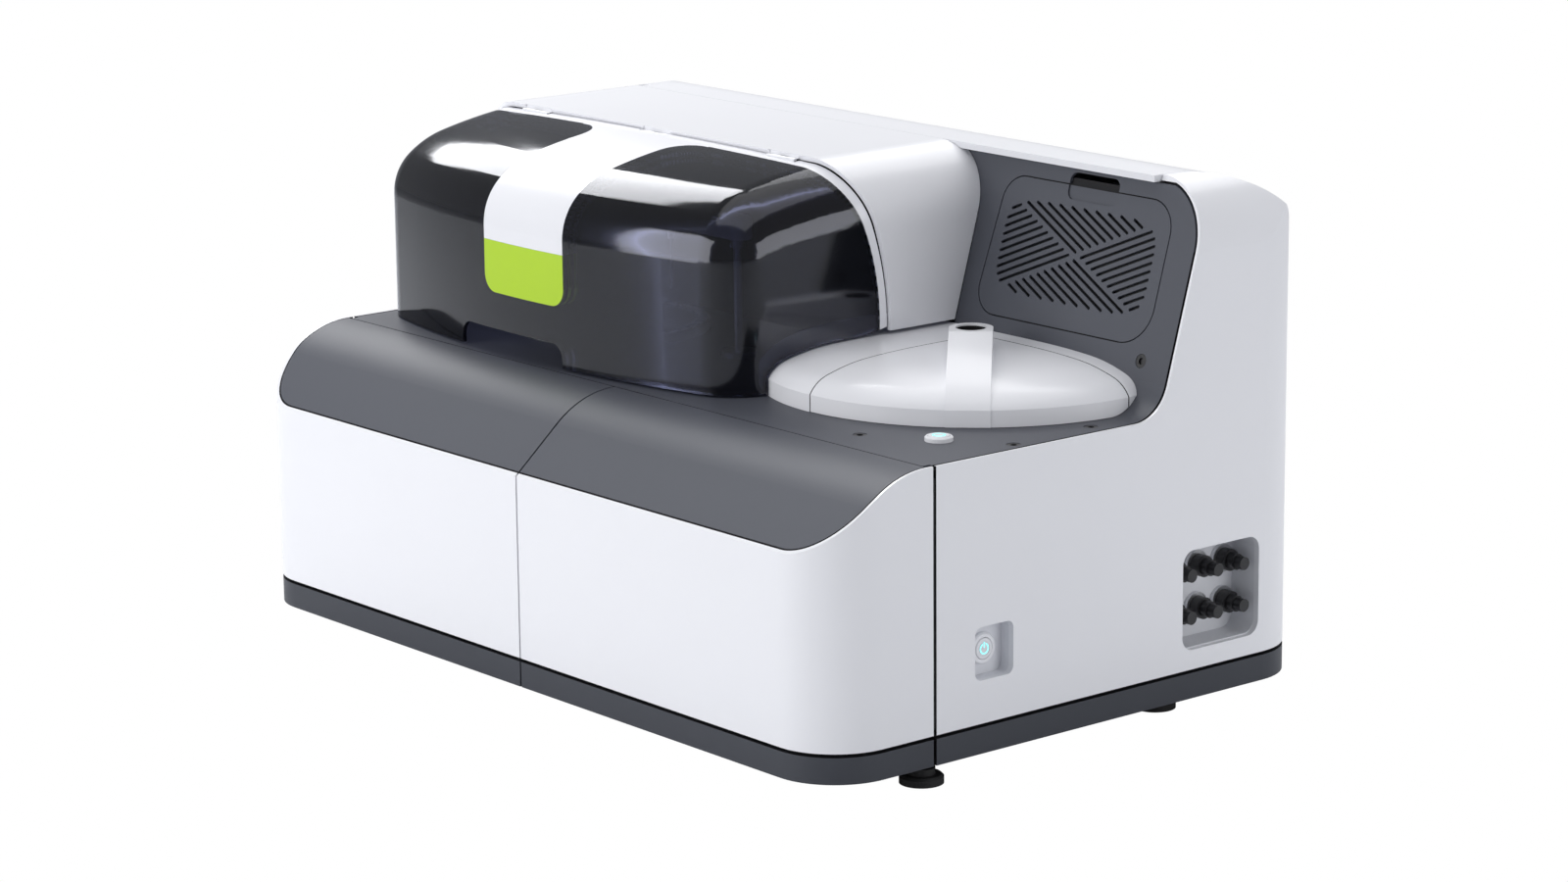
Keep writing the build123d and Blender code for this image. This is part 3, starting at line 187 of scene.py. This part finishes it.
def plastic(name, colour, rough, grain=900.0, depth=0.02, coat=0.0, vary=0.03, spec=0.5, metal=0.0):
    """Moulded or painted surface with a fine grain and a slight colour drift."""
    mat = bpy.data.materials.new(name)
    mat.use_nodes = True
    tree = mat.node_tree
    bsdf = tree.nodes["Principled BSDF"]
    bsdf.inputs["Coat Weight"].default_value = coat
    bsdf.inputs["Coat Roughness"].default_value = 0.12
    bsdf.inputs["Specular IOR Level"].default_value = spec
    bsdf.inputs["Metallic"].default_value = metal
    coords = tree.nodes.new("ShaderNodeTexCoord")
    fine = tree.nodes.new("ShaderNodeTexNoise")
    fine.inputs["Scale"].default_value = grain
    fine.inputs["Detail"].default_value = 2
    broad = tree.nodes.new("ShaderNodeTexNoise")
    broad.inputs["Scale"].default_value = DRIFT_SCALE
    broad.inputs["Detail"].default_value = 3
    tree.links.new(coords.outputs["Object"], fine.inputs["Vector"])
    tree.links.new(coords.outputs["Object"], broad.inputs["Vector"])
    ramp = tree.nodes.new("ShaderNodeValToRGB")
    ramp.color_ramp.elements[0].position = DRIFT_RANGE[0]
    ramp.color_ramp.elements[1].position = DRIFT_RANGE[1]
    dark = [c * (1 - vary) for c in colour]
    light = [min(1, c * (1 + vary)) for c in colour]
    ramp.color_ramp.elements[0].color = (*dark, 1)
    ramp.color_ramp.elements[1].color = (*light, 1)
    tree.links.new(broad.outputs["Fac"], ramp.inputs["Fac"])
    tree.links.new(ramp.outputs["Color"], bsdf.inputs["Base Color"])
    spread = tree.nodes.new("ShaderNodeMapRange")
    spread.inputs["To Min"].default_value = rough * (1 - ROUGH_SPREAD)
    spread.inputs["To Max"].default_value = rough * (1 + ROUGH_SPREAD)
    tree.links.new(fine.outputs["Fac"], spread.inputs["Value"])
    tree.links.new(spread.outputs["Result"], bsdf.inputs["Roughness"])
    bump = tree.nodes.new("ShaderNodeBump")
    bump.inputs["Strength"].default_value = depth
    bump.inputs["Distance"].default_value = GRAIN_HEIGHT
    tree.links.new(fine.outputs["Fac"], bump.inputs["Height"])
    tree.links.new(bump.outputs["Normal"], bsdf.inputs["Normal"])
    return mat


def smoked():
    """Dark tinted acrylic: mostly mirror-black, faintly see-through."""
    mat = bpy.data.materials.new("smoked_acrylic")
    mat.use_nodes = True
    tree = mat.node_tree
    tree.nodes.clear()
    out = tree.nodes.new("ShaderNodeOutputMaterial")
    mix = tree.nodes.new("ShaderNodeMixShader")
    clear = tree.nodes.new("ShaderNodeBsdfTransparent")
    gloss = tree.nodes.new("ShaderNodeBsdfGlossy")
    fres = tree.nodes.new("ShaderNodeFresnel")
    coords = tree.nodes.new("ShaderNodeTexCoord")
    haze = tree.nodes.new("ShaderNodeTexNoise")
    ramp = tree.nodes.new("ShaderNodeValToRGB")
    haze.inputs["Scale"].default_value = 3
    ramp.color_ramp.elements[0].color = (0.31, 0.32, 0.40, 1)
    ramp.color_ramp.elements[1].color = (0.37, 0.38, 0.47, 1)
    gloss.inputs["Color"].default_value = (0.95, 0.96, 1, 1)
    gloss.inputs["Roughness"].default_value = 0.08
    fres.inputs["IOR"].default_value = 1.49
    tree.links.new(coords.outputs["Object"], haze.inputs["Vector"])
    tree.links.new(haze.outputs["Fac"], ramp.inputs["Fac"])
    tree.links.new(ramp.outputs["Color"], clear.inputs["Color"])
    tree.links.new(fres.outputs[0], mix.inputs[0])
    tree.links.new(clear.outputs[0], mix.inputs[1])
    tree.links.new(gloss.outputs[0], mix.inputs[2])
    tree.links.new(mix.outputs[0], out.inputs[0])
    return mat


def glowing(name, colour, strength):
    """Softly lit mark of a push-button."""
    mat = plastic(name, colour, 0.4)
    bsdf = mat.node_tree.nodes["Principled BSDF"]
    bsdf.inputs["Emission Color"].default_value = (*colour, 1)
    bsdf.inputs["Emission Strength"].default_value = strength
    return mat


WHITE = plastic("white_gloss", (0.82, 0.825, 0.86), 0.32, coat=0.2, vary=0.006)
DARK = plastic("blue_grey_satin", (0.078, 0.083, 0.101), 0.5, depth=0.05, vary=0.02, spec=0.3)
SKIRT = plastic("skirt_grey_satin", (0.050, 0.054, 0.066), 0.5, depth=0.05, vary=0.02, spec=0.3)
# Black of the inner parts, also used as painted shade in the gaps and in the chimney's bore
INNER_AND_SHADE = plastic("inner_black_and_painted_shade", (0.008, 0.008, 0.010), 0.6, depth=0.05, spec=0.25)
SILVER = plastic("silver_grey_satin", (0.72, 0.73, 0.77), 0.34, vary=0.02)
LIME = plastic("lime_satin", (0.42, 0.64, 0.012), 0.42, vary=0.02)
BLACK = plastic("black_satin", (0.012, 0.012, 0.014), 0.42, depth=0.04)
RUBBER = plastic("black_rubber", (0.016, 0.016, 0.017), 0.62, depth=0.1, spec=0.35)
METAL = plastic("satin_steel", (0.60, 0.61, 0.63), 0.28, metal=1.0, vary=0.04)
SHEET = plastic("coated_sheet", (0.30, 0.31, 0.33), 0.5, metal=0.3)
CLEAR = plastic("clear_plastic", (0.75, 0.82, 0.86), 0.12, coat=0.3)
LAMP = glowing("ring_cyan", (0.20, 0.85, 0.85), 1.2)
SMOKED = smoked()

FINISH = {
    "door_left_panel": WHITE, "door_right_panel": WHITE, "side_panel_left": WHITE, "side_panel_right": WHITE,
    "rear_panel": WHITE, "top_cover": WHITE, "tower_cover": WHITE, "lid_fixed": WHITE, "lid_quarter": WHITE,
    "hood_frame": WHITE, "side_pockets": SILVER, "wash_cup": WHITE, "probe_arm": WHITE, "mixer_arm": WHITE,
    "start_cap": WHITE, "power_cap": WHITE,
    "door_left_top": DARK, "door_right_top": DARK, "door_left_skirt": SKIRT, "door_right_skirt": SKIRT,
    "base_skirt": SKIRT, "deck": DARK, "grille_cover": DARK,
    "door_left_liner": INNER_AND_SHADE, "door_right_liner": INNER_AND_SHADE, "bulkhead": INNER_AND_SHADE, "back_wall": INNER_AND_SHADE,
    "hoops": INNER_AND_SHADE, "side_frames": INNER_AND_SHADE, "reaction_knob": INNER_AND_SHADE, "disc_wells": INNER_AND_SHADE,
    "filter_tray": INNER_AND_SHADE, "base_tray": INNER_AND_SHADE,
    "hood_shell": SMOKED, "hood_tip": LIME,
    "hood_leaves": WHITE, "door_left_leaf": INNER_AND_SHADE, "door_right_leaf": INNER_AND_SHADE, "fixed_hinges": INNER_AND_SHADE,
    "arm_guides": METAL, "probe_rod": METAL, "mixer_rod": METAL, "button_bezels": WHITE,
    "fluid_sockets": METAL, "sample_disc": SHEET, "reaction_disc": SHEET,
    "cuvettes": CLEAR, "sample_tubes": CLEAR,
}


def finish_nodes():
    """Give every CAD node its finish: rubber for the feet, black for what isn't listed."""
    for name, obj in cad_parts.items():
        mat = FINISH.get(name)
        if mat is None:
            mat = RUBBER if name.startswith("foot_") else BLACK
        if not obj.material_slots:
            obj.data.materials.append(mat)
        for slot in obj.material_slots:
            slot.material = mat


def paint(name, mat, *tests):
    """Give another colour to the faces of a node whose middle passes one of the tests; used for painted
    shade in the gaps and for the hinge's white.
    """
    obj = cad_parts[name]
    obj.data.materials.append(mat)
    index = len(obj.data.materials) - 1
    for face in obj.data.polygons:
        mid = obj.matrix_world @ face.center
        place = (mid.x * 1000, (mid.y - FRONT_Y) * 1000, (mid.z - SKIRT_Z) * 1000)
        if any(test(*place) for test in tests):
            face.material_index = index


def side_inset(x, z):
    """Depth of a point below the body's side and shoulder, in millimetres."""
    if z > SHOULDER_Z:
        return SHOULDER_R - math.hypot(max(abs(x) - HALF + SHOULDER_R, 0), z - SHOULDER_Z)
    return HALF - abs(x)


def in_deck_groove(x, y, z):
    """Whether a point of a side panel lies in the shadow gap beside the deck and the wall."""
    wall = WALL_FOOT_Y + WALL_LEAN * (z - DECK_Z)
    depth = max(DECK_Z - z, y - wall)
    beside = LIP_T - LIP_SLACK < side_inset(x, z) < PANEL_T + SEAM_SLACK
    return beside and depth < DECK_GAP_DEPTH and z < WALL_TOP_Z


def door_inset(x, y):
    """Depth of a point inside the doors' rounded outline, in millimetres."""
    if y < CORNER_R and abs(x) > HALF - CORNER_R:
        return CORNER_R - math.hypot(abs(x) - HALF + CORNER_R, CORNER_R - y)
    return min(y, HALF - abs(x))


def in_door_groove(x, y, z):
    """Whether a point of a door panel lies in the shadow gap around the dark top."""
    edge = door_inset(x, y)
    slope = (DECK_Z - SLOPE_LOW[1]) / (SLOPE_HIGH_Y - SLOPE_LOW[0])
    depth = min(DECK_Z - z, SLOPE_LOW[1] + slope * (y - SLOPE_LOW[0]) - z)
    return LIP_T - LIP_SLACK < edge < PANEL_T - SEAM_SLACK and depth < DOOR_GAP_DEPTH


def in_lid_seam(x, y, z):
    """Whether a point of the fixed lid lies in the seam around the lift-off quarter."""
    corner = (x - LID_SEAM[0]) + (LID_SEAM[1] - y)
    inside = x > LID_SEAM[0] - SEAM_SLACK and y < LID_SEAM[1] + SEAM_SLACK
    return inside and corner > LID_SEAM_CORNER


def on_top_edge(x, y, z):
    """Whether a point of a dark door top lies on its outer or back edge."""
    return door_inset(x, y) < TOP_INSET or y > TOP_BACK


def on_skirt_top(x, y, z):
    """Whether a point of the skirt lies in the gap under the panels."""
    return z > SKIRT_TOP - FACE_SLACK


def on_panel_front(x, y, z):
    """Whether a point lies on the front end of the side panels and the skirt."""
    return abs(y - PANEL_FRONT) < FACE_SLACK


def on_door_back(x, y, z):
    """Whether a point lies on the back end of a door."""
    return abs(y - DOOR_BACK) < FACE_SLACK


def on_deck_edge(x, y, z):
    """Whether a point of the deck lies on its side or front edge."""
    return side_inset(x, z) < REVEAL + FACE_SLACK or y < DECK_FRONT


def above_shoulder(x, y, z):
    """Whether a point stands above the body's shoulder, where the hood's hinge is."""
    return z > SHOULDER_Z


def paint_gaps():
    """Painted shade: black on the faces in the gaps, so the gaps read as dark lines; white on the hood's
    hinge above the shoulder.
    """
    # Painted shade: grooves, panel and door ends, door top edges, skirt tops, deck edges and the lid seam
    # are painted black
    for side in ("right", "left"):
        paint(f"side_panel_{side}", INNER_AND_SHADE, in_deck_groove, on_panel_front)
        paint(f"door_{side}_panel", INNER_AND_SHADE, in_door_groove, on_door_back)
        paint(f"door_{side}_top", INNER_AND_SHADE, on_top_edge)
        paint(f"door_{side}_skirt", INNER_AND_SHADE, on_skirt_top, on_door_back)
    paint("base_skirt", INNER_AND_SHADE, on_skirt_top, on_panel_front)
    paint("deck", INNER_AND_SHADE, on_deck_edge)
    paint("lid_fixed", INNER_AND_SHADE, in_lid_seam)
    paint("fixed_hinges", WHITE, above_shoulder)


def new_piece(name, bm, body, mat):
    """Finish a new mesh piece that moves with a body."""
    bmesh.ops.recalc_face_normals(bm, faces=bm.faces)
    mesh = bpy.data.meshes.new(name)
    bm.to_mesh(mesh)
    bm.free()
    obj = bpy.data.objects.new(name, mesh)
    bpy.context.collection.objects.link(obj)
    mesh.materials.append(mat)
    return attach(obj, body)


def stroke(start, end, radius, width, count=28):
    """Outline of an arc stroke with round ends, angles in degrees."""
    a0, a1 = math.radians(start), math.radians(end)
    half = width / 2
    turns = [a0 + (a1 - a0) * i / count for i in range(count + 1)]
    points = [((radius + half) * math.cos(t), (radius + half) * math.sin(t)) for t in turns]
    points += [cap_point(radius, a1, half, math.pi * i / 8) for i in range(1, 8)]
    points += [((radius - half) * math.cos(t), (radius - half) * math.sin(t)) for t in reversed(turns)]
    points += [cap_point(radius, a0, half, math.pi + math.pi * i / 8) for i in range(1, 8)]
    return points


def cap_point(radius, angle, half, turn):
    """Point on the round end of an arc stroke."""
    x = radius * math.cos(angle) + half * math.cos(angle + turn)
    y = radius * math.sin(angle) + half * math.sin(angle + turn)
    return x, y


def bar(x0, x1, y0, y1):
    """Outline of a straight bar with round ends."""
    half = (x1 - x0) / 2
    mid = (x0 + x1) / 2
    turns = [math.pi * i / 8 for i in range(9)]
    top = [(mid + half * math.cos(t), y1 + half * math.sin(t)) for t in turns]
    low = [(mid - half * math.cos(t), y0 - half * math.sin(t)) for t in turns]
    return top + low


def raised(bm, outline, height, place):
    """Add a thin raised plate with the given outline."""
    low = [bm.verts.new(place @ Vector((x / 1000, y / 1000, 0))) for x, y in outline]
    high = [bm.verts.new(place @ Vector((x / 1000, y / 1000, height / 1000))) for x, y in outline]
    bm.faces.new(list(reversed(low)))
    bm.faces.new(high)
    for i in range(len(outline)):
        j = (i + 1) % len(outline)
        bm.faces.new((low[i], low[j], high[j], high[i]))


def make_button_marks():
    """Lit power sign on the side button and lit ring on the deck button."""
    facing_right = Matrix(((0, 0, 1), (1, 0, 0), (0, 1, 0))).to_4x4()
    place = Matrix.Translation(at(*POWER_FACE)) @ facing_right
    bm = bmesh.new()
    raised(bm, stroke(*SIGN_ARC, SIGN_R, SIGN_W), MARK_H, place)
    raised(bm, bar(-SIGN_W / 2, SIGN_W / 2, *SIGN_BAR_Y), MARK_H, place)
    new_piece("power_sign", bm, "power_button", LAMP)
    place = Matrix.Translation(at(*START_FACE))
    bm = bmesh.new()
    for arc in RING_ARCS:
        raised(bm, stroke(*arc, RING_R, SIGN_W), MARK_H, place)
    new_piece("start_ring", bm, "start_button", LAMP)


def make_chimney_shade():
    """Thin black sleeve in the chimney's bore, painted shade for the dark inside of the tube."""
    count = 48
    bore_r = SHADE_SLEEVE_R - SHADE_SLEEVE_T
    low_z, high_z = SHADE_SLEEVE_Z
    bm = bmesh.new()
    loops = []
    for radius, z in ((SHADE_SLEEVE_R, low_z), (SHADE_SLEEVE_R, high_z), (bore_r, high_z), (bore_r, low_z)):
        ring = []
        for i in range(count):
            turn = 2 * math.pi * i / count
            x = CHIMNEY[0] + radius * math.cos(turn)
            y = CHIMNEY[1] + radius * math.sin(turn)
            ring.append(bm.verts.new(at(x, y, z)))
        loops.append(ring)
    for near, far in zip(loops, loops[1:] + loops[:1]):
        for i in range(count):
            j = (i + 1) % count
            bm.faces.new((near[i], near[j], far[j], far[i]))
    # The sleeve is painted shade for the bore's dark inside
    new_piece("chimney_painted_shade", bm, "lid_quarter", INNER_AND_SHADE)


make_camera()
make_lights()
make_floor()
finish_nodes()
paint_gaps()
make_button_marks()
make_chimney_shade()
bpy.context.scene.view_settings.view_transform = "Standard"
